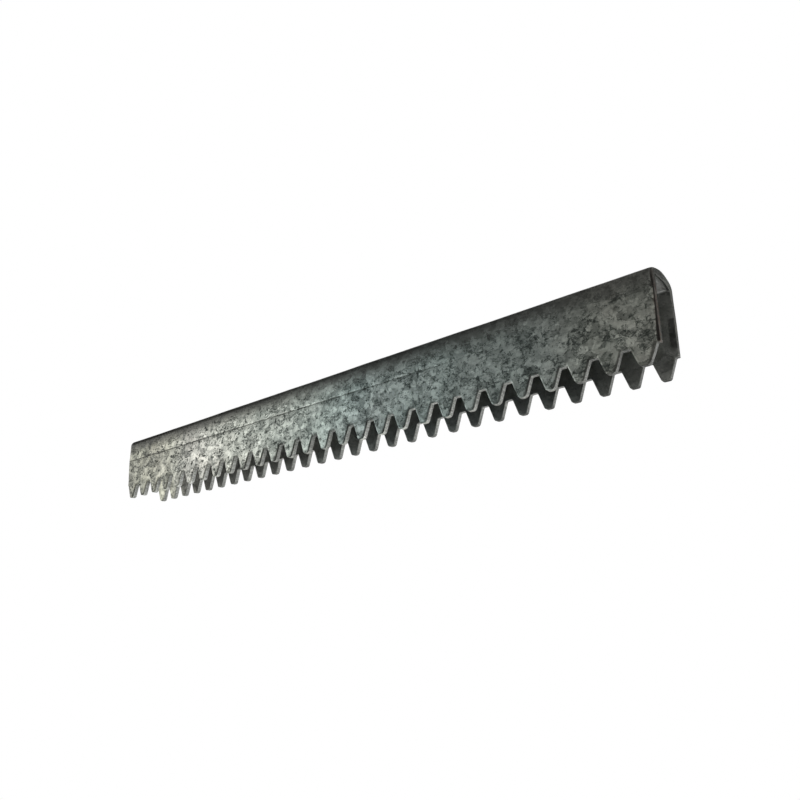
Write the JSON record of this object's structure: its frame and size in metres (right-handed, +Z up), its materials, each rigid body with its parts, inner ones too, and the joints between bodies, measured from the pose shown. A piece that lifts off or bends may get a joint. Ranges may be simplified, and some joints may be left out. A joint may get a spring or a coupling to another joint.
{
  "type": "gear rack",
  "caption": "Toothed rack folded from galvanised strip into a narrow inverted U, with rack teeth stamped along both lower edges for a pinion to run in.",
  "frame": {"origin": "under the middle of the rack, level with the tooth tips, centred between the two flanges", "axes": "+X along the rack, +Y across it, +Z up through the fold; the teeth point down"},
  "size_m": [0.35, 0.023, 0.039],
  "materials": {
    "galvanised_sheet": "hot-dip galvanised, spangled, semi-matt"
  },
  "bodies": {
    "root": {"toothed_rack": "galvanised_sheet"}
  },
  "joints": []
}
